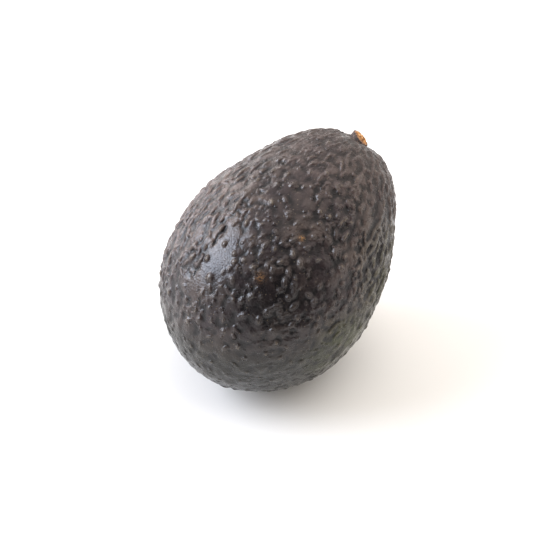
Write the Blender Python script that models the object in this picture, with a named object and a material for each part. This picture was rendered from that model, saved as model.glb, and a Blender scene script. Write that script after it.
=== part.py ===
"""Hass-type avocado: one solid fruit and the woody stub of its stem.

Frame: metres, +Z up. The origin is the centre of the small flat the fruit
rests on. The fruit stands on the side of its broad blossom end, and its
stem end is raised and leans toward +Y. +X is one side of the fruit.
"""
import math

import bmesh
import bpy
from mathutils import Matrix, Vector

OBJECT_NAME = "avocado"

# Fruit: driving dimensions
FRUIT_LENGTH = 0.0907
FRUIT_WIDTH = 0.0680
AXIS_TILT = math.radians(28.8)       # long axis above the resting surface
SPHERE_SUBDIVISIONS = 5

# Girth along the axis, 1 + a t + b t^2 + c t^3, with t = -1 at the blossom
# end and +1 at the stem end: broad low down, narrower toward the stem
TAPER_A = -0.140
TAPER_B = -0.011
TAPER_C = 0.103
NECK_BEND_SIDE = 0.0030              # drift of the stem end toward +X
NECK_BEND_UP = 0.0040                # and upward, square to the long axis

# Broad swells (+) and flattened places (-) on the even egg shape, each with
# its height, its spread in radians, and its azimuth and elevation in degrees
SWELLS = {
    "belly": (0.0040, 0.45, 84.0, -70.4),
    "shoulder": (0.0004, 0.13, 108.0, 48.0),
    "upper_flank": (-0.0008, 0.22, 150.0, 48.0),
    "neck_side": (-0.0007, 0.15, 48.0, 11.0),
    "broad_side": (-0.0008, 0.16, 207.0, 14.0),
}

# Flat spot that the fruit rests on
REST_DEPTH = 0.0008                  # height lost below the round outline

# Stem seat: a slanted shallow pit near the stem end of the axis
SEAT_POLAR = math.radians(13.0)      # away from the end of the long axis
SEAT_TURN = math.radians(-72.0)      # around the axis, 0 toward +X
SEAT_RADIUS = 0.0095                 # where the pit has faded out
SEAT_DEPTH = 0.0016
STEM_AZIMUTH = math.radians(71.5)
STEM_ELEVATION = math.radians(48.0)

# Stem stub
STUB_BASE_RADIUS = 0.0035
STUB_TOP_RADIUS = 0.0031
STUB_RISE = 0.0019                   # middle of the cut face above the pit
STUB_SINK = 0.0016                   # buried below the pit
STUB_SEGMENTS = 32
STUB_BLANK = 0.0070                  # uncut length, trimmed by the slanted cut
CUT_AZIMUTH = math.radians(49.0)
CUT_ELEVATION = math.radians(42.0)
RIM_BEVEL = 0.0003
FIT_GAP = 0.0003                     # between the stub and its socket


def clear_scene():
    for obj in list(bpy.data.objects):
        bpy.data.objects.remove(obj)


def new_collection(name):
    collection = bpy.data.collections.new(name)
    bpy.context.scene.collection.children.link(collection)
    return collection


def make_material(name, color, roughness):
    material = bpy.data.materials.new(name)
    material.use_nodes = True
    shader = material.node_tree.nodes["Principled BSDF"]
    shader.inputs["Base Color"].default_value = (*color, 1.0)
    shader.inputs["Roughness"].default_value = roughness
    shader.inputs["Metallic"].default_value = 0.0
    return material


def add_object(name, bm, collection, material=None):
    mesh = bpy.data.meshes.new(name)
    bm.to_mesh(mesh)
    bm.free()
    obj = bpy.data.objects.new(name, mesh)
    collection.objects.link(obj)
    if material:
        mesh.materials.append(material)
    return obj


def direction(azimuth, elevation):
    level = math.cos(elevation)
    return Vector((level * math.cos(azimuth), level * math.sin(azimuth), math.sin(elevation)))


def axis_rotation():
    """Turn the local Z axis onto the tilted long axis, in the Y-Z plane."""
    return Matrix.Rotation(AXIS_TILT - math.pi / 2, 3, "X")


def swell_height(point):
    """Sum of the soft local swells in the direction of a point."""
    total = 0.0
    for height, spread, azimuth, elevation in SWELLS.values():
        angle = point.angle(direction(math.radians(azimuth), math.radians(elevation)))
        total += height * math.exp(-angle ** 2 / (2 * spread ** 2))
    return total


def fruit_point(unit):
    """Point of the fruit's outer surface for a point of the unit sphere."""
    x, y, t = unit
    girth = FRUIT_WIDTH / 2 * (1 + TAPER_A * t + TAPER_B * t ** 2 + TAPER_C * t ** 3)
    neck = max(t, 0.0) ** 2
    local = Vector((x * girth + NECK_BEND_SIDE * neck,
                    y * girth - NECK_BEND_UP * neck,
                    t * FRUIT_LENGTH / 2))
    point = axis_rotation() @ local
    return point + point.normalized() * swell_height(point)


def seat_point():
    ring = math.sin(SEAT_POLAR)
    unit = (ring * math.cos(SEAT_TURN), ring * math.sin(SEAT_TURN), math.cos(SEAT_POLAR))
    return fruit_point(unit)


def press_seat(point, seat, stem_axis):
    """Blend the surface near the stem into a slanted pit square to the stem."""
    offset = point - seat
    reach = offset.length / SEAT_RADIUS
    if reach >= 1.0:
        return point
    weight = (1 - reach ** 2) ** 2
    height = offset.dot(stem_axis)
    return point - stem_axis * (height + SEAT_DEPTH) * weight


def cut_rest_spot(bm):
    """Slice off the lowest sliver and return the centre of the flat left."""
    level = min(vert.co.z for vert in bm.verts) + REST_DEPTH
    geometry = bm.verts[:] + bm.edges[:] + bm.faces[:]
    cut = bmesh.ops.bisect_plane(bm, geom=geometry, dist=1e-7, plane_co=(0, 0, level),
                                 plane_no=(0, 0, -1), clear_outer=True)
    edges = [item for item in cut["geom_cut"] if isinstance(item, bmesh.types.BMEdge)]
    flat = bmesh.ops.contextual_create(bm, geom=edges)["faces"][0]
    centre = flat.calc_center_bounds()
    return Vector((centre.x, centre.y, level))


def make_fruit(collection, material):
    """Skin, flesh and seed as one solid; returns it with the seat's place."""
    stem_axis = direction(STEM_AZIMUTH, STEM_ELEVATION)
    seat = seat_point()
    bm = bmesh.new()
    bmesh.ops.create_icosphere(bm, subdivisions=SPHERE_SUBDIVISIONS, radius=1.0)
    for vert in bm.verts:
        vert.co = press_seat(fruit_point(vert.co), seat, stem_axis)
    centre = cut_rest_spot(bm)
    bmesh.ops.translate(bm, verts=bm.verts, vec=-centre)
    bmesh.ops.recalc_face_normals(bm, faces=bm.faces)
    fruit = add_object("avocado_fruit", bm, collection, material)
    fruit.data.shade_smooth()
    return fruit, seat - stem_axis * SEAT_DEPTH - centre


def place_on_stem(obj, pit):
    obj.rotation_mode = "QUATERNION"
    obj.rotation_quaternion = direction(STEM_AZIMUTH, STEM_ELEVATION).to_track_quat("Z", "Y")
    obj.location = pit


def make_stub(collection, material, pit):
    """Squat woody stub, slightly narrower on top, cut off on a slant."""
    bm = bmesh.new()
    bmesh.ops.create_cone(bm, cap_ends=True, segments=STUB_SEGMENTS, radius1=STUB_BASE_RADIUS,
                          radius2=STUB_TOP_RADIUS, depth=STUB_BLANK)
    bmesh.ops.translate(bm, verts=bm.verts, vec=(0, 0, STUB_BLANK / 2 - STUB_SINK))
    turn = direction(STEM_AZIMUTH, STEM_ELEVATION).to_track_quat("Z", "Y")
    slant = turn.inverted() @ direction(CUT_AZIMUTH, CUT_ELEVATION)
    geometry = bm.verts[:] + bm.edges[:] + bm.faces[:]
    cut = bmesh.ops.bisect_plane(bm, geom=geometry, dist=1e-7, plane_co=(0, 0, STUB_RISE),
                                 plane_no=slant, clear_outer=True)
    rim = [item for item in cut["geom_cut"] if isinstance(item, bmesh.types.BMEdge)]
    bmesh.ops.contextual_create(bm, geom=rim)
    bmesh.ops.bevel(bm, geom=rim, offset=RIM_BEVEL, segments=2, profile=0.5, affect="EDGES")
    bmesh.ops.recalc_face_normals(bm, faces=bm.faces)
    stub = add_object("stem_stub", bm, collection, material)
    stub.data.shade_smooth()
    stub.data.set_sharp_from_angle(angle=math.radians(40))
    place_on_stem(stub, pit)
    return stub


def cut_socket(fruit, collection, pit):
    """Blind round socket in the fruit that holds the buried end of the stub."""
    bottom = -(STUB_SINK + FIT_GAP)
    bm = bmesh.new()
    bmesh.ops.create_cone(bm, cap_ends=True, segments=STUB_SEGMENTS,
                          radius1=STUB_BASE_RADIUS + FIT_GAP,
                          radius2=STUB_BASE_RADIUS + FIT_GAP, depth=STUB_BLANK)
    bmesh.ops.translate(bm, verts=bm.verts, vec=(0, 0, STUB_BLANK / 2 + bottom))
    cutter = add_object("socket_cutter", bm, collection)
    cutter.display_type = "WIRE"
    cutter.hide_render = True
    place_on_stem(cutter, pit)
    socket = fruit.modifiers.new("socket", "BOOLEAN")
    socket.operation = "DIFFERENCE"
    socket.solver = "EXACT"
    socket.object = cutter


def main():
    clear_scene()
    parts = new_collection(OBJECT_NAME)
    cutters = new_collection("cutters")
    skin = make_material("skin", (0.045, 0.036, 0.034), 0.42)
    wood = make_material("stem_wood", (0.36, 0.17, 0.07), 0.75)
    fruit, pit = make_fruit(parts, skin)
    make_stub(parts, wood, pit)
    cut_socket(fruit, cutters, pit)


main()
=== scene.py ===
# %% [markdown]
# # A ripe avocado, modelled with bmesh and shaded with nodes
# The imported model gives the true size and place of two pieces: the fruit and
# the woody stub of its stem. This lesson keeps those sizes and makes both
# pieces again with a fine surface: a pebbled rind and a torn, dry cut face.

import math

import bmesh
import bpy
import numpy as np
from mathutils import Matrix, Vector, kdtree, noise
from mathutils.bvhtree import BVHTree


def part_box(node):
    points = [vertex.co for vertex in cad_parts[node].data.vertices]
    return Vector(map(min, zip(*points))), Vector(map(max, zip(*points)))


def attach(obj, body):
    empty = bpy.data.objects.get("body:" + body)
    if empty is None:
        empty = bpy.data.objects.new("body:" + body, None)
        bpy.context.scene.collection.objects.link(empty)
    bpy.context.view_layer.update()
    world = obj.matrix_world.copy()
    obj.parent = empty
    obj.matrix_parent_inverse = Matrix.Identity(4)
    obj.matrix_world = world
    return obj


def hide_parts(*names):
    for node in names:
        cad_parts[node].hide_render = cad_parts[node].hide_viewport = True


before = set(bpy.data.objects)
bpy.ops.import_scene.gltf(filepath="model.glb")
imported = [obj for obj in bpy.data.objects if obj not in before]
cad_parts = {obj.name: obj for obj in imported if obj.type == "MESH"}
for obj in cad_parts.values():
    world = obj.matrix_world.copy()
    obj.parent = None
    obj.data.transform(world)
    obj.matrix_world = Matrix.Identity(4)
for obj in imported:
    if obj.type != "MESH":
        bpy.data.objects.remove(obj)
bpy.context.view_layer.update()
MM = 0.001
lowest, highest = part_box("avocado_fruit")
middle = (lowest + highest) / 2
print("fruit, mm:", [round(size / MM, 1) for size in highest - lowest])

# %% [markdown]
# ## Where the stem sits
# The stub is a turned piece with two flat ends: the buried foot and the
# slanted cut. Merging its flat triangles into whole faces makes the two ends
# the largest faces, and they give the stem's place, lean and radius without
# a single typed-in position.


# %% Read the stub's foot and cut face
def clean_copy(obj):
    """A bmesh of a CAD node with its loose triangles joined."""
    copy = bmesh.new()
    copy.from_mesh(obj.data)
    bmesh.ops.remove_doubles(copy, verts=copy.verts, dist=1e-6)
    return copy


stub_copy = clean_copy(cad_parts["stem_stub"])
bmesh.ops.dissolve_limit(stub_copy, angle_limit=math.radians(1), verts=stub_copy.verts,
                         edges=stub_copy.edges)
ends = sorted(stub_copy.faces, key=lambda face: face.calc_area())[-2:]
foot, cut = sorted(ends, key=lambda face: face.calc_center_median().z)
stem_foot = foot.calc_center_median()
stem_axis = -foot.normal.normalized()
cut_centre = cut.calc_center_median()
cut_normal = cut.normal.normalized()
stub_radius = math.sqrt(foot.calc_area() / math.pi)
stub_copy.free()
print("stub radius, mm:", round(stub_radius / MM, 2), "lean:", [round(a, 2) for a in stem_axis])

# %% [markdown]
# ## The rind's ground form
# A rind needs small, even faces all over, because thousands of lumps will be
# raised from it. A UV sphere crowds its faces at two poles and an icosphere
# can't be cut to any count. A subdivided cube, blown up to a ball, has nearly
# even square cells, so it is used here. Each of its points is then sent out
# from the middle of the fruit until it meets the CAD surface.

# %% Blow a cube up onto the fruit
CELLS = 129                     # along each side of each of the cube's 6 faces
SMOOTH_ROUNDS = 14              # takes away the flat facets of the CAD surface

fruit_copy = clean_copy(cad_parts["avocado_fruit"])
fruit_tree = BVHTree.FromBMesh(fruit_copy)
fruit_copy.free()

skin_bm = bmesh.new()
bmesh.ops.create_cube(skin_bm, size=2.0)
bmesh.ops.subdivide_edges(skin_bm, edges=skin_bm.edges, cuts=CELLS - 1, use_grid_fill=True)
for vert in skin_bm.verts:
    outward = Vector([math.tan(c * math.pi / 4) for c in vert.co]).normalized()
    vert.co = fruit_tree.ray_cast(middle, outward)[0]
for _ in range(SMOOTH_ROUNDS):
    bmesh.ops.smooth_vert(skin_bm, verts=skin_bm.verts, factor=0.5,
                          use_axis_x=True, use_axis_y=True, use_axis_z=True)
bmesh.ops.recalc_face_normals(skin_bm, faces=skin_bm.faces)
skin_bm.normal_update()
print("rind:", len(skin_bm.verts), "points")

# %% [markdown]
# ## Maps of the rind
# The rind isn't the same everywhere. One cheek is bare and smooth, perhaps
# because a leaf or another fruit once pressed on it. The neck and the flanks
# have longer, closer lumps, and on the underside the lumps are lower. Each
# map below is a number for every point, kept in a numpy array, so later
# steps can weigh by it.


# %% Arrays of places, normals and maps
def aim(azimuth, elevation):
    """Unit vector from an azimuth, 0 toward +X and 90 toward +Y, and an elevation."""
    level = math.cos(math.radians(elevation))
    return Vector((level * math.cos(math.radians(azimuth)),
                   level * math.sin(math.radians(azimuth)),
                   math.sin(math.radians(elevation))))


def near(towards, spread):
    """1 in one direction from the fruit's middle, about a third at a spread in degrees."""
    angle = np.degrees(np.arccos(np.clip(rays @ np.array(towards), -1, 1)))
    return np.exp(-(angle / spread) ** 2)


def noise_map(size, seed, octaves=2):
    """Smooth noise with features of a given size, about -1 to 1."""
    shift = Vector((seed * 7.3, seed * 3.1, seed * 5.7))
    values = [noise.fractal(Vector(p) / size + shift, 1.0, 2.0, octaves) for p in points]
    return np.clip(np.array(values) * 1.6, -1, 1)


points = np.array([vert.co for vert in skin_bm.verts])
normals = np.array([vert.normal for vert in skin_bm.verts])
threads = np.array([[vert.index for vert in edge.verts] for edge in skin_bm.edges])
rays = points - np.array(middle)
rays /= np.linalg.norm(rays, axis=1)[:, None]
to_stem = (stem_foot - middle).normalized()
meridian = np.array(to_stem) - normals * (normals @ np.array(to_stem))[:, None]
meridian /= np.linalg.norm(meridian, axis=1)[:, None] + 1e-9
across = np.cross(normals, meridian)

broad = noise_map(16 * MM, 1)
patchy = noise_map(9 * MM, 2)
rolling = noise_map(4.2 * MM, 3)

# Directions from the middle, as azimuth and elevation in degrees
LEFT_FLANK = aim(210, 38)
RIGHT_FLANK = aim(22, 8)
GREEN_SIDE = aim(344, -14)
# Faces the camera; the rind is painted near black there, as painted shade and a painted dark
# reflection
CAMERA_FACING_SIDE = aim(305, 20)
# The bare cheek is made of circles: azimuth, elevation and spread in degrees
CHEEK = ((262, 18, 6.0), (266, 26, 8.0), (270, 34, 9.5), (271, 42, 9.0), (271, 50, 7.0))
cheek = sum(near(aim(azimuth, elevation), spread) ** 2 for azimuth, elevation, spread in CHEEK)
cheek = np.clip((cheek - 0.42 + 0.16 * rolling) * 4.0, 0, 1)
cheek = cheek * cheek * (3 - 2 * cheek)
neck = near(to_stem, 40)
flank = np.maximum(near(LEFT_FLANK, 38), near(RIGHT_FLANK, 34)) * (1 - cheek)
height_angle = np.degrees(np.arcsin(rays[:, 2]))
low = np.clip((5 - height_angle) / 15, 0, 1)
belt = np.exp(-((height_angle - 5) / 11) ** 2)
from_stem = points - np.array(stem_foot)
stem_height = from_stem @ np.array(stem_axis)
stem_distance = np.linalg.norm(from_stem - stem_height[:, None] * np.array(stem_axis), axis=1)
stem_distance[stem_height < -10 * MM] = 1.0
print("maps: cheek, neck, flank, low, belt, broad, patchy, rolling")

# %% [markdown]
# ## Sowing the lumps
# Lumps on a rind are spread like plants: nowhere in rows, and each with some
# room of its own. Dart throwing does that: pick a random point, and keep it
# if no kept point is too near. The room that lumps keep changes over the
# rind, so that there are crowds with smoother skin between them.

# %% Throw the darts
MOUND_SPACING = 4.4 * MM
LUMP_SPACING = 2.9 * MM
BEAD_SPACING = 1.9 * MM
PIT_SPACING = 3.2 * MM
RIDGE_SPACING = 2.3 * MM
dice = np.random.default_rng(20)


def sow(spacing, tries):
    """Indices of points that keep their own spacing, an array over the rind, from each other."""
    picks = dice.integers(0, len(points), tries)
    kept = np.empty(tries, int)
    count = 0
    for pick in picks:
        gaps = points[kept[:count]] - points[pick]
        if count == 0 or (gaps ** 2).sum(1).min() > spacing[pick] ** 2:
            kept[count] = pick
            count += 1
    return kept[:count]


crowding = 1.22 + 0.5 * patchy - 0.4 * neck - 0.25 * flank
mound_seeds = sow(np.full(len(points), MOUND_SPACING), 9000)
lump_seeds = sow(LUMP_SPACING * crowding, 16000)
bead_seeds = sow(BEAD_SPACING * crowding, 16000)
pit_seeds = sow(PIT_SPACING * (1.3 - 0.3 * patchy), 9000)
print("mounds:", len(mound_seeds), "lumps:", len(lump_seeds), "beads:", len(bead_seeds),
      "pits:", len(pit_seeds))

# %% [markdown]
# ## Raising the lumps
# A lump is a rounded dome. Its outline is stretched along the line to the
# stem, more so near the neck and on the flanks. Where two domes meet, adding
# them would make a spike. So the fourth powers of their heights are added,
# and the fourth root of the sum gives a soft union. A layer is one such
# union; mounds, lumps and pits are layers of their own.

# %% Domes and their union
UNION_POWER = 4
tree = kdtree.KDTree(len(points))
for index, point in enumerate(points):
    tree.insert(point, index)
tree.balance()
mounds = np.zeros(len(points))
lumps = np.zeros(len(points))
pits = np.zeros(len(points))
dryness = np.zeros(len(points))


def add_dome(layer, index, radius, height, edge, stretch, turn=0.0, dry=0.0):
    """One dome: stretch is its length over its width, turn its angle to the meridian."""
    found = tree.find_range(points[index], radius * stretch * 1.02)
    near_by = np.array([item[1] for item in found])
    along = meridian[index] * math.cos(turn) + across[index] * math.sin(turn)
    offset = points[near_by] - points[index]
    lengthwise = offset @ along
    square = (offset ** 2).sum(1) - lengthwise ** 2 * (1 - 1 / stretch ** 2)
    form = np.clip(1 - square / radius ** 2, 0, 1) ** edge
    layer[near_by] += (height * form) ** UNION_POWER
    dryness[near_by] = np.maximum(dryness[near_by], dry * form)


def grow(layer, seeds, radius, height, edge, dry_chance=0.0):
    """A dome on each seed, its radius and height drawn from ranges in millimetres."""
    stretching = 1.5 * neck + 2.1 * flank
    straying = 0.25 + 0.35 * (1 - neck - flank).clip(0)
    for index in seeds:
        size = dice.uniform(0, 1)
        shrink = 1 - 0.42 * neck[index]
        stretch = 1.15 + 0.9 * dice.random() + stretching[index] * dice.random()
        dry = float(dice.random() < dry_chance)
        turn = dice.normal(0, straying[index])
        add_dome(layer, index, (radius[0] + size * (radius[1] - radius[0])) * MM * shrink,
                 (height[0] + size * (height[1] - height[0])) * MM * shrink,
                 edge, stretch, turn, dry)


grow(mounds, mound_seeds, (2.0, 3.4), (0.22, 0.50), 2.0)
grow(lumps, lump_seeds, (0.65, 1.2), (0.28, 0.56), 1.3, dry_chance=0.35)
grow(lumps, bead_seeds, (0.5, 0.75), (0.10, 0.24), 1.5, dry_chance=0.2)
grow(pits, pit_seeds, (0.8, 1.5), (0.20, 0.45), 1.8)
# Some lumps have companions that they half run into
for index in lump_seeds[::4]:
    for _ in range(dice.integers(1, 3)):
        turn = dice.uniform(0, 2 * math.pi)
        step = meridian[index] * math.cos(turn) + across[index] * math.sin(turn)
        other = tree.find(points[index] + step * dice.uniform(1.3, 2.1) * MM)[1]
        add_dome(lumps, other, dice.uniform(0.65, 1.05) * MM, dice.uniform(0.25, 0.45) * MM,
                 1.35, 1.25, turn)
# Toward the stem and on the flanks there are long, low ridges too
ridge_seeds = [index for index in sow(np.full(len(points), RIDGE_SPACING), 12000)
               if dice.random() < 1.3 * (neck[index] - 0.2) + 0.5 * flank[index]]
for index in ridge_seeds:
    add_dome(lumps, index, dice.uniform(0.50, 0.75) * MM, dice.uniform(0.28, 0.48) * MM,
             1.3, dice.uniform(3.0, 5.5), dice.normal(0, 0.25))
print("ridges:", len(ridge_seeds), "lumps raised to",
      round((lumps.max() ** (1 / UNION_POWER)) / MM, 2), "mm")

# %% [markdown]
# ## Marks of this one fruit
# A few features make a fruit this fruit and no other: single round lumps,
# some of them on the bare cheek, two fine creases along it, and two small
# corky scars. They are placed by direction from the middle, as azimuth and
# elevation in degrees.

# %% Lone lumps, creases and scars
# Direction, then radius and height in millimetres
LONE_LUMPS = ((263.2, 33.6, 1.05, 0.55), (268.6, 43.8, 1.0, 0.5), (270.4, 27.2, 1.5, 0.5),
              (285.5, 39.8, 1.3, 0.5), (280.6, 37.7, 1.2, 0.45), (279.0, 41.5, 1.0, 0.45),
              (316.3, 29.4, 1.3, 0.40), (292.1, 15.1, 1.2, 0.40), (308.5, 17.3, 1.2, 0.40))
# Directions of the start and the end
CREASES = (((261.0, 40.5), (260.8, 50.9)), ((259.6, 23.6), (261.5, 27.7)))
CREASE_WIDTH = 0.5 * MM
# Direction, then radius in millimetres and strength
SCARS = ((326.7, 52.1, 0.9, 0.8), (297.5, 33.6, 1.4, 0.45))


def on_rind(azimuth, elevation):
    """Index of the rind's point nearest to a direction from the middle."""
    place = fruit_tree.ray_cast(middle, aim(azimuth, elevation))[0]
    return tree.find(place)[1]


bare = 1 - cheek
mounds = mounds ** (1 / UNION_POWER) * bare
pits = pits ** (1 / UNION_POWER) * bare * (1 - 0.7 * neck)
lumps *= bare
for azimuth, elevation, radius, height in LONE_LUMPS:
    add_dome(lumps, on_rind(azimuth, elevation), radius * MM, height * MM, 1.2, 1.15, dry=0.5)
lumps = lumps ** (1 / UNION_POWER)

creased = np.zeros(len(points))
for start, end in CREASES:
    first = points[on_rind(*start)]
    run = points[on_rind(*end)] - first
    share = np.clip((points - first) @ run / (run @ run), 0, 1)
    wander = 0.25 * MM * np.sin(share * 9.0)[:, None] * np.cross(run / np.linalg.norm(run), rays)
    gap = np.linalg.norm(points - first - share[:, None] * run - wander, axis=1)
    creased = np.maximum(creased, np.exp(-(gap / CREASE_WIDTH) ** 2))

scar = np.zeros(len(points))
for azimuth, elevation, radius, strength in SCARS:
    gap = np.linalg.norm(points - points[on_rind(azimuth, elevation)], axis=1)
    scar = np.maximum(scar, strength * np.exp(-(gap / (radius * MM)) ** 2))
print("lone lumps:", len(LONE_LUMPS), "creases:", len(CREASES), "scars:", len(SCARS))

# %% [markdown]
# ## Putting the relief together
# The lumps stand on a ground that rolls gently by itself. Close to the stem
# the lumps fade, and the rind rises in a low collar round the stub. Nothing
# may sink below the surface that the fruit rests on, so the lowest points
# are pressed flat there.

# %% Move every point along its normal
COLLAR_RADIUS = stub_radius + 0.9 * MM
COLLAR_WIDTH = 0.8 * MM
GROUND_DROP = 0.38 * MM         # makes room under the CAD surface for the lumps
CHEEK_RISE = 0.18 * MM
open_rind = np.clip((stem_distance - stub_radius - 0.2 * MM) / (3.0 * MM), 0, 1)
collar = np.exp(-((stem_distance - COLLAR_RADIUS) / COLLAR_WIDTH) ** 2)

relief = lumps * (1 - 0.42 * low + 0.45 * flank) + mounds * (0.8 - 0.1 * low - 0.35 * neck)
relief = relief - pits * (0.2 + 0.6 * belt)
relief = relief + (rolling * 0.14 + patchy * 0.10) * MM * bare + broad * 0.2 * MM
relief = relief - GROUND_DROP + CHEEK_RISE * cheek - creased * 0.5 * MM
relief = relief * open_rind + collar * 0.6 * MM * (1 + 0.5 * rolling)


def evened(values, rounds):
    """Each point's value averaged with its neighbours', a number of times."""
    neighbours = np.bincount(threads.ravel(), minlength=len(values))
    for _ in range(rounds):
        total = np.bincount(threads[:, 0], values[threads[:, 1]], len(values)) \
            + np.bincount(threads[:, 1], values[threads[:, 0]], len(values))
        values = 0.5 * values + 0.5 * total / neighbours
    return values


crest = relief - evened(relief, 40)

moved = points + normals * relief[:, None]
moved[:, 2] = np.maximum(moved[:, 2], 0.0)
for vert, place in zip(skin_bm.verts, moved):
    vert.co = place

skin_mesh = bpy.data.meshes.new("avocado_rind")
skin_bm.to_mesh(skin_mesh)
skin_bm.free()
skin_mesh.shade_smooth()
rind = bpy.data.objects.new("avocado_rind", skin_mesh)
bpy.context.scene.collection.objects.link(rind)
print("rind faces:", len(skin_mesh.polygons), "relief, mm:", round(relief.min() / MM, 2),
      round(relief.max() / MM, 2), "crest:", round(crest.std() / MM, 3))

# %% [markdown]
# ## Maps for the shader
# The same maps steer colour. They are stored on the mesh as named point
# attributes, which a material reads by name and which stay put in any view.


# %% Store the maps as attributes
def store(mesh, name, values):
    attribute = mesh.attributes.new(name, "FLOAT", "POINT")
    attribute.data.foreach_set("value", np.clip(values, 0, 1).astype(np.float32))


store(skin_mesh, "crest", 0.5 + crest / (0.8 * MM))
store(skin_mesh, "lump", lumps / (0.6 * MM))
store(skin_mesh, "dry", dryness)
store(skin_mesh, "cheek", cheek)
store(skin_mesh, "neck", neck)
store(skin_mesh, "streaked", np.maximum(neck, flank))
store(skin_mesh, "scar", scar)
store(skin_mesh, "green", np.maximum(near(GREEN_SIDE, 24), 0.6 * near(RIGHT_FLANK, 32)))
store(skin_mesh, "painted_dark_side", near(CAMERA_FACING_SIDE, 22))
store(skin_mesh, "low", low)
# Painted shade in the creases and round the foot of the stub, for the shader
store(skin_mesh, "painted_recess_shade", creased + np.exp(-(stem_distance - stub_radius).clip(0) / (0.9 * MM)))
print("attributes:", [attribute.name for attribute in skin_mesh.attributes][-11:])

# %% [markdown]
# ## A small helper for node trees
# A node material is a recipe: each node has settings, numbers typed on its
# sockets, and wires from other nodes. The helper takes all three at once:
# a socket given as a value is wired, and anything else is typed in.


# %% Node helper
class Recipe:
    """Builds one material's node tree, step by step."""

    def __init__(self, name):
        self.material = bpy.data.materials.new(name)
        self.material.use_nodes = True
        self.tree = self.material.node_tree
        self.shader = self.tree.nodes["Principled BSDF"]
        self.place = self.add("ShaderNodeTexCoord").outputs["Object"]
        self.lengthwise = self.add("ShaderNodeMapping", {
            "Vector": self.place, "Rotation": to_stem.to_track_quat("Z", "Y").to_euler(),
            "Scale": (1, 1, 3.5)}, vector_type="TEXTURE").outputs["Vector"]

    def add(self, kind, inputs=None, **settings):
        made = self.tree.nodes.new(kind)
        for name, value in settings.items():
            setattr(made, name, value)
        self.fill(made, inputs or {})
        return made

    def fill(self, made, inputs):
        for name, value in inputs.items():
            socket = made.inputs[name]
            if isinstance(value, bpy.types.NodeSocket):
                self.tree.links.new(value, socket)
            else:
                socket.default_value = value

    def noise(self, size, detail=3.0, rough=0.55, warp=0.0, place=None):
        """Noise with features of a given size in metres."""
        return self.add("ShaderNodeTexNoise", {
            "Vector": place or self.place, "Scale": 1 / size, "Detail": detail,
            "Roughness": rough, "Distortion": warp}).outputs["Fac"]

    def cells(self, size, feature="F1", place=None):
        return self.add("ShaderNodeTexVoronoi", {"Vector": place or self.place,
                                                 "Scale": 1 / size}, feature=feature)

    def attribute(self, name):
        return self.add("ShaderNodeAttribute", attribute_name=name).outputs["Fac"]

    def math(self, operation, first, second):
        return self.add("ShaderNodeMath", {0: first, 1: second}, operation=operation).outputs[0]

    def ramp(self, value, start, end, low=0.0, high=1.0):
        """A value's span from start to end, spread softly over low to high."""
        return self.add("ShaderNodeMapRange", {
            "Value": value, "From Min": start, "From Max": end, "To Min": low, "To Max": high},
            interpolation_type="SMOOTHSTEP").outputs["Result"]

    def mix(self, amount, first, second):
        """Colour that goes from the first to the second by an amount."""
        made = self.add("ShaderNodeMix", data_type="RGBA")
        for name, value in (("Factor_Float", amount), ("A_Color", first), ("B_Color", second)):
            socket = next(s for s in made.inputs if s.identifier == name)
            if isinstance(value, bpy.types.NodeSocket):
                self.tree.links.new(value, socket)
            else:
                socket.default_value = value if isinstance(value, float) else (*value, 1.0)
        return next(s for s in made.outputs if s.identifier == "Result_Color")

    def bump(self, height, depth, under=None):
        """Bump of a given depth in metres, laid over another bump."""
        inputs = {"Height": height, "Strength": 1.0, "Distance": depth}
        if under is not None:
            inputs["Normal"] = under
        return self.add("ShaderNodeBump", inputs).outputs["Normal"]


# %% [markdown]
# ## The rind's finish
# A ripe rind is nearly black, but not evenly: plum and brown show through in
# patches, the neck is browner, and some tips of lumps wear to tan. Some of the
# colour is painted light: hollows between lumps are painted darker and crests
# a paler grey, ridge tops on the neck and flanks are pale rose or sage, partly
# tint and partly painted highlight, and painted shade darkens the underside,
# the creases, the foot of the stub and the side that faces the camera. A thin
# coat gives it a half gloss that the leathery grain breaks up. The lumps are
# real relief. Bump deepens their shading a little and adds what the mesh
# leaves out: grain, streaks and small beads.

# %% Rind material
BLACK = (0.008, 0.007, 0.008)
PLUM = (0.031, 0.023, 0.025)
BROWN = (0.062, 0.047, 0.043)
# Pale rose and sage for ridge tops, partly tint and partly painted highlight
ROSE = (0.150, 0.110, 0.103)
SAGE = (0.125, 0.122, 0.098)
# Paler grey, painted on crests as painted light
CREST_LIGHT_GREY = (0.085, 0.073, 0.067)
# Painted shade for the underside
SHADE = (0.015, 0.016, 0.013)
TAN = (0.20, 0.160, 0.11)
CORK = (0.26, 0.135, 0.045)
MOSS = (0.060, 0.066, 0.032)

skin = Recipe("avocado_rind")
crest_map = skin.attribute("crest")
cheek_map = skin.attribute("cheek")
neck_map = skin.attribute("neck")
patches = skin.ramp(skin.noise(11 * MM), 0.36, 0.66)
mottling = skin.ramp(skin.noise(2.6 * MM, detail=4.0, warp=0.4), 0.38, 0.68)

color = skin.mix(patches, PLUM, BROWN)
color = skin.mix(skin.math("MULTIPLY", mottling, 0.3), color, BLACK)
streaks = skin.noise(0.9 * MM, detail=2.0, place=skin.lengthwise)
color = skin.mix(skin.math("MULTIPLY", neck_map, 0.5), color, BROWN)
streaked = skin.ramp(skin.attribute("streaked"), 0.0, 0.9)
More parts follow.
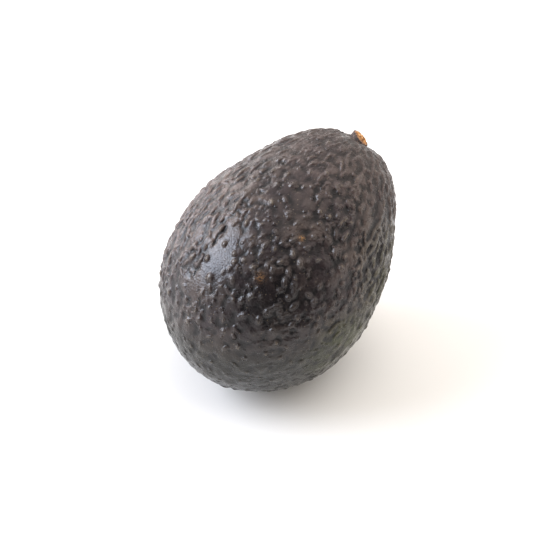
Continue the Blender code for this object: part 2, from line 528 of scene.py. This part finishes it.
# Ridge tops on the neck and flanks turn rose or sage: partly tint, partly painted highlight
ridged = skin.math("ADD", crest_map, skin.math("MULTIPLY", streaks, 0.4))
ridge_tint_and_highlight = skin.math("MULTIPLY", skin.ramp(ridged, 0.60, 0.88), streaked)
ridge_tint_and_highlight = skin.math("MULTIPLY", ridge_tint_and_highlight, skin.ramp(neck_map, 0.25, 0.9, low=0.7, high=0.25))
streak_tone = skin.mix(skin.ramp(skin.attribute("green"), 0.1, 0.5), ROSE, SAGE)
color = skin.mix(ridge_tint_and_highlight, color, streak_tone)
# Painted shade: the underside is painted darker
color = skin.mix(skin.math("MULTIPLY", skin.attribute("low"), 0.8), color, SHADE)
greening = skin.math("MULTIPLY", skin.attribute("green"), skin.ramp(patches, -0.6, 0.8))
color = skin.mix(skin.ramp(greening, 0.15, 0.9, high=0.65), color, MOSS)
# Painted shade: near black on the side that faces the camera, a painted dark reflection of the
# room
color = skin.mix(skin.math("MULTIPLY", skin.attribute("painted_dark_side"), 0.7), color, BLACK)
# Painted shade: hollows between lumps are painted darker
painted_valley_shade = skin.math("MULTIPLY", skin.ramp(crest_map, 0.5, 0.30, high=0.9),
                   skin.ramp(neck_map, 0.2, 1.0, low=1.0, high=0.45))
color = skin.mix(painted_valley_shade, color, BLACK)
# A weight that fades out on the painted dark side
off_painted_dark = skin.ramp(skin.attribute("painted_dark_side"), 1.0, 0.2, low=0.2)
# Painted light: crests are painted a paler grey
painted_crest_light = skin.math("MULTIPLY", skin.ramp(crest_map, 0.56, 0.85, high=0.4), off_painted_dark)
color = skin.mix(painted_crest_light, color, CREST_LIGHT_GREY)
worn = skin.math("MULTIPLY", skin.attribute("dry"), skin.ramp(crest_map, 0.55, 0.85))
worn = skin.math("MULTIPLY", worn, off_painted_dark)
worn = skin.math("MULTIPLY", worn, skin.ramp(skin.noise(0.7 * MM), 0.45, 0.60))
color = skin.mix(skin.math("MULTIPLY", worn, 0.4), color, TAN)

# Pale pores, smaller than the lumps and thinly spread
pores = skin.cells(1.1 * MM)
pore = skin.ramp(pores.outputs["Distance"], 0.08, 0.17, low=1.0, high=0.0)
chance = skin.add("ShaderNodeSeparateColor", {"Color": pores.outputs["Color"]}).outputs[0]
pore = skin.math("MULTIPLY", pore, skin.ramp(chance, 0.40, 0.50))
color = skin.mix(skin.math("MULTIPLY", pore, 0.6), color, TAN)

corky = skin.math("MULTIPLY", skin.attribute("scar"), skin.ramp(skin.noise(0.6 * MM), 0.38, 0.58))
color = skin.mix(corky, color, CORK)
# Painted shade in the creases and round the foot of the stub
color = skin.mix(skin.ramp(skin.attribute("painted_recess_shade"), 0.15, 0.7, high=0.75), color, BLACK)

grain = skin.noise(0.42 * MM, detail=2.0)
leather = skin.cells(0.95 * MM, feature="DISTANCE_TO_EDGE").outputs["Distance"]
beads = skin.cells(2.3 * MM)
bead = skin.ramp(beads.outputs["Distance"], 0.34, 0.12)
bead_chance = skin.add("ShaderNodeSeparateColor", {"Color": beads.outputs["Color"]}).outputs[1]
bead = skin.math("MULTIPLY", bead, skin.ramp(bead_chance, 0.45, 0.75))
bead = skin.math("MULTIPLY", bead, skin.ramp(cheek_map, 0.5, 0.1))
bead = skin.math("MULTIPLY", bead, skin.ramp(skin.attribute("low"), 0.8, 0.1))
bead = skin.math("MULTIPLY", bead, off_painted_dark)
neck_beads = skin.cells(1.5 * MM, place=skin.lengthwise)
neck_bead = skin.ramp(neck_beads.outputs["Distance"], 0.55, 0.15)
neck_bead = skin.math("MULTIPLY", neck_bead, skin.ramp(neck_map, 0.1, 0.7))
normal = skin.bump(skin.ramp(leather, 0.0, 0.22), 0.035 * MM)
normal = skin.bump(skin.ramp(skin.attribute("lump"), 0.05, 0.75), 0.28 * MM, under=normal)
normal = skin.bump(neck_bead, 0.14 * MM, under=normal)
normal = skin.bump(bead, 0.25 * MM, under=normal)
normal = skin.bump(skin.noise(1.2 * MM, detail=2.0), 0.10 * MM, under=normal)
streak_form = skin.ramp(streaks, 0.38, 0.64)
normal = skin.bump(skin.math("MULTIPLY", streak_form, streaked), 0.15 * MM, under=normal)
normal = skin.bump(grain, 0.03 * MM, under=normal)

rough = skin.ramp(skin.noise(5 * MM), 0.3, 0.7, low=0.17, high=0.27)
rough = skin.math("ADD", rough, skin.ramp(crest_map, 0.55, 0.25, high=0.12))
rough = skin.math("SUBTRACT", rough, skin.math("MULTIPLY", cheek_map, 0.05))
rough = skin.math("ADD", rough, skin.math("MULTIPLY", corky, 0.3))
skin.fill(skin.shader, {"Base Color": color, "Roughness": rough, "Normal": normal,
                        "IOR": 1.48, "Coat Weight": 0.10, "Coat Roughness": 0.15})
skin_mesh.materials.append(skin.material)
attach(rind, "root")
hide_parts("avocado_fruit")
print("rind material:", len(skin.tree.nodes), "nodes")

# %% [markdown]
# ## The stem stub
# The stub is what is left when the stalk is clipped: a squat woody plug with
# a thin bark and a slanted, torn cut. A cone primitive is cut into rings,
# and its upper cap is inset again and again, so that the bark rim and the
# torn middle are real relief. It is shaped upright, then turned into place.

# %% Stub blank: a cone with rings and an inset cap
STUB_SIDES = 96
FLANK_RINGS = 16
CAP_RINGS = 14
foot_to_cut = (cut_centre - stem_foot).dot(stem_axis)
top_radius = stub_radius * 0.90

stub_bm = bmesh.new()
bmesh.ops.create_cone(stub_bm, cap_ends=True, segments=STUB_SIDES, radius1=stub_radius,
                      radius2=top_radius, depth=foot_to_cut)
bmesh.ops.translate(stub_bm, verts=stub_bm.verts, vec=(0, 0, foot_to_cut / 2))
upright = [edge for edge in stub_bm.edges
           if abs(edge.verts[0].co.z - edge.verts[1].co.z) > foot_to_cut / 2]
bmesh.ops.subdivide_edges(stub_bm, edges=upright, cuts=FLANK_RINGS - 1)
cap = max(stub_bm.faces, key=lambda face: face.calc_center_median().z)
for _ in range(CAP_RINGS - 1):
    bmesh.ops.inset_region(stub_bm, faces=[cap], thickness=top_radius / CAP_RINGS,
                           use_even_offset=True)
bmesh.ops.poke(stub_bm, faces=[cap])
print("stub blank:", len(stub_bm.faces), "faces")

# %% [markdown]
# ## Tearing the stub
# In the upright position a point is easy to describe: its radius, its turn
# around the axis, and its share of the height. The flank gets lengthwise
# folds and flares at the foot, the bark stands up as an uneven rim, and the
# wood inside it is sunk and fibrous. The last move slants the whole top.

# %% Shape the flank, the rim and the torn wood
stand = stem_axis.to_track_quat("Z", "Y").to_matrix()
slant = stand.inverted() @ cut_normal
cap_share = {}
for vert in stub_bm.verts:
    x, y, z = vert.co
    share = z / foot_to_cut
    radius = math.hypot(x, y)
    turn = math.atan2(y, x)
    around = Vector((math.cos(turn), math.sin(turn), 0))
    inside = radius / top_radius if share > 0.999 else 1.1
    cap_share[vert.index] = inside
    wobble = noise.fractal(around * 1.7 + Vector((3, 1, share)), 1.0, 2.0, 3)
    fold = noise.noise(around * 6.0 + Vector((0, 0, share * 1.2)))
    grow_out = 1 + 0.05 * wobble + 0.045 * fold * min(share * 2, 1) - 0.03 * math.sin(share * 3)
    x, y = x * grow_out, y * grow_out
    if inside <= 1.0:
        place = Vector((x, y, 0)) / (0.75 * MM)
        torn = noise.fractal(place, 1.0, 2.0, 4)
        rim = math.exp(-((inside - 0.88) / 0.07) ** 2)
        z += (1.05 * (1 - inside ** 2.4) - 0.45 + 0.35 * torn * (1 - inside ** 4)
              + 0.3 * rim * max(wobble, 0)) * MM
    lean = -(slant.x * x + slant.y * y) / slant.z
    vert.co = (x, y, z + lean * max(share, 0) ** 1.5)

placing = Matrix.Translation(stem_foot) @ stand.to_4x4()
bmesh.ops.transform(stub_bm, matrix=placing, verts=stub_bm.verts)
bmesh.ops.recalc_face_normals(stub_bm, faces=stub_bm.faces)
stub_mesh = bpy.data.meshes.new("stem_stub_wood")
stub_bm.to_mesh(stub_mesh)
stub_bm.free()
stub_mesh.shade_smooth()
stub = bpy.data.objects.new("stem_stub_wood", stub_mesh)
bpy.context.scene.collection.objects.link(stub)
store(stub_mesh, "inside", np.array([1.1 - cap_share[i] for i in range(len(cap_share))]))
print("stub faces:", len(stub_mesh.polygons))

# %% [markdown]
# ## The stub's finish
# The cut wood is tan to orange-brown with darker, open fibres and paler
# patches. The bark around it is thin and dark. The attribute stored on the
# cap tells the two apart.

# %% Stub material
BARK = (0.050, 0.040, 0.038)
BARK_PALE = (0.22, 0.15, 0.125)
WOOD = (0.42, 0.19, 0.055)
WOOD_PALE = (0.64, 0.37, 0.18)
WOOD_DARK = (0.13, 0.050, 0.012)

wood = Recipe("stem_wood")
inside_map = wood.attribute("inside")
heart = wood.ramp(inside_map, 0.10, 0.20)
fibres = wood.noise(0.8 * MM, detail=4.0, rough=0.6, warp=0.5)
tone = wood.mix(wood.ramp(wood.noise(1.5 * MM), 0.42, 0.58), WOOD, WOOD_PALE)
tone = wood.mix(wood.ramp(fibres, 0.45, 0.57, high=0.9), tone, WOOD_DARK)
tone = wood.mix(wood.ramp(inside_map, 0.45, 0.15, high=0.75), tone, BARK_PALE)
bark = wood.mix(wood.ramp(wood.noise(0.8 * MM, detail=4.0), 0.45, 0.7), BARK, BARK_PALE)
tone = wood.mix(heart, bark, tone)
wood_normal = wood.bump(fibres, 0.35 * MM)
wood_normal = wood.bump(wood.noise(0.18 * MM, detail=3.0), 0.05 * MM, under=wood_normal)
wood.fill(wood.shader, {"Base Color": tone, "Normal": wood_normal,
                        "Roughness": wood.ramp(fibres, 0.3, 0.7, low=0.62, high=0.85)})
stub_mesh.materials.append(wood.material)
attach(stub, "root")
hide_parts("stem_stub")
print("stub material:", len(wood.tree.nodes), "nodes")

# %% [markdown]
# ## Studio
# A plain white table, a soft window on the left, a larger, warmer light
# farther back on that side, and a high fill from the right. A dark rind
# shows mostly what it mirrors, so the room matters as well. A dark card
# stands for its dark side: only mirror rays see it, and it throws no shadow.
# The fill is the other way round: it lights the fruit and is never mirrored.


# %% Floor
FLOOR_HALF = 1.4                # half the side of the square, in metres
CARD_HALF = 0.7


def flat_sheet(name, half_side):
    """A square sheet of one face, lying about the origin."""
    mesh = bpy.data.meshes.new(name)
    sheet_bm = bmesh.new()
    bmesh.ops.create_grid(sheet_bm, x_segments=1, y_segments=1, size=half_side)
    sheet_bm.to_mesh(mesh)
    sheet_bm.free()
    sheet = bpy.data.objects.new(name, mesh)
    bpy.context.scene.collection.objects.link(sheet)
    return sheet


floor = flat_sheet("floor", FLOOR_HALF)
paper = Recipe("white_table")
tone = paper.mix(paper.noise(0.4), (0.68, 0.665, 0.648), (0.69, 0.68, 0.668))
paper.fill(paper.shader, {"Base Color": tone, "Roughness": 0.9, "Specular IOR Level": 0.1})
floor.data.materials.append(paper.material)
print("floor at z = 0")

# %% Lights and the dark card
VIEW_AZIMUTH = 38.7
VIEW_ELEVATION = 40.0


def stand_at(azimuth, elevation, distance):
    """A place around the fruit; azimuth 0 is in front of it, on the -Y side."""
    turn, rise = math.radians(azimuth), math.radians(elevation)
    back = Vector((math.sin(turn) * math.cos(rise), -math.cos(turn) * math.cos(rise),
                   math.sin(rise)))
    return middle + back * distance


def face_fruit(obj, place):
    obj.location = place
    obj.rotation_mode = "QUATERNION"
    obj.rotation_quaternion = (middle - place).to_track_quat("-Z", "Y")


def soft_light(name, azimuth, elevation, distance, size, power, tint):
    data = bpy.data.lights.new(name, "AREA")
    data.shape = "RECTANGLE"
    data.size, data.size_y = size
    data.energy = power
    data.color = tint
    lamp = bpy.data.objects.new(name, data)
    bpy.context.scene.collection.objects.link(lamp)
    face_fruit(lamp, stand_at(azimuth, elevation, distance))
    return lamp


# Azimuth, elevation, distance and size in metres, power in watts, tint
soft_light("window", VIEW_AZIMUTH - 90, 35, 1.3, (0.85, 0.95), 18, (0.74, 0.84, 1.0))
soft_light("left_wall", VIEW_AZIMUTH - 125, 22, 1.8, (2.4, 1.4), 22, (1.0, 0.94, 0.93))
fill = soft_light("high_fill", VIEW_AZIMUTH + 95, 62, 1.5, (1.8, 1.8), 16, (1.0, 0.97, 0.93))
fill.visible_glossy = False

card = flat_sheet("dark_card", CARD_HALF)
face_fruit(card, stand_at(VIEW_AZIMUTH + 20, 20, 0.8))
card.visible_camera = False
card.visible_diffuse = False
card.visible_shadow = False
felt = Recipe("dark_felt")
felt.fill(felt.shader, {"Base Color": (0.02, 0.02, 0.02, 1), "Roughness": 1.0})
card.data.materials.append(felt.material)

world = bpy.data.worlds.new("room")
world.use_nodes = True
world.node_tree.nodes["Background"].inputs["Color"].default_value = (1.0, 0.96, 0.915, 1)
world.node_tree.nodes["Background"].inputs["Strength"].default_value = 0.88
bpy.context.scene.world = world
bpy.context.scene.view_settings.view_transform = "Standard"
bpy.context.scene.view_settings.look = "Medium High Contrast"
print("lights, card and room are in place")

# %% [markdown]
# ## Camera
# A long lens from half a metre keeps the fruit's proportions. The camera
# looks down at 40 degrees from the fruit's front right, and it aims a little
# below the fruit's middle, so that the fruit sits a little high.

# %% Camera
CAMERA_DISTANCE = 0.5
PICTURE_WIDTH = 0.1789          # at the fruit's middle
SENSOR_WIDTH = 36.0
AIM_DROP = 5.1 * MM

camera_data = bpy.data.cameras.new("camera")
camera_data.sensor_width = SENSOR_WIDTH
camera_data.lens = SENSOR_WIDTH * CAMERA_DISTANCE / PICTURE_WIDTH
camera_data.clip_start = 0.01
camera = bpy.data.objects.new("camera", camera_data)
bpy.context.scene.collection.objects.link(camera)
camera.location = stand_at(VIEW_AZIMUTH, VIEW_ELEVATION, CAMERA_DISTANCE)
look = (middle - camera.location).normalized()
picture_up = look.to_track_quat("-Z", "Y") @ Vector((0, 1, 0))
camera.rotation_mode = "QUATERNION"
camera.rotation_quaternion = (middle - picture_up * AIM_DROP
                              - camera.location).to_track_quat("-Z", "Y")
bpy.context.scene.camera = camera
print("lens, mm:", round(camera_data.lens, 1))
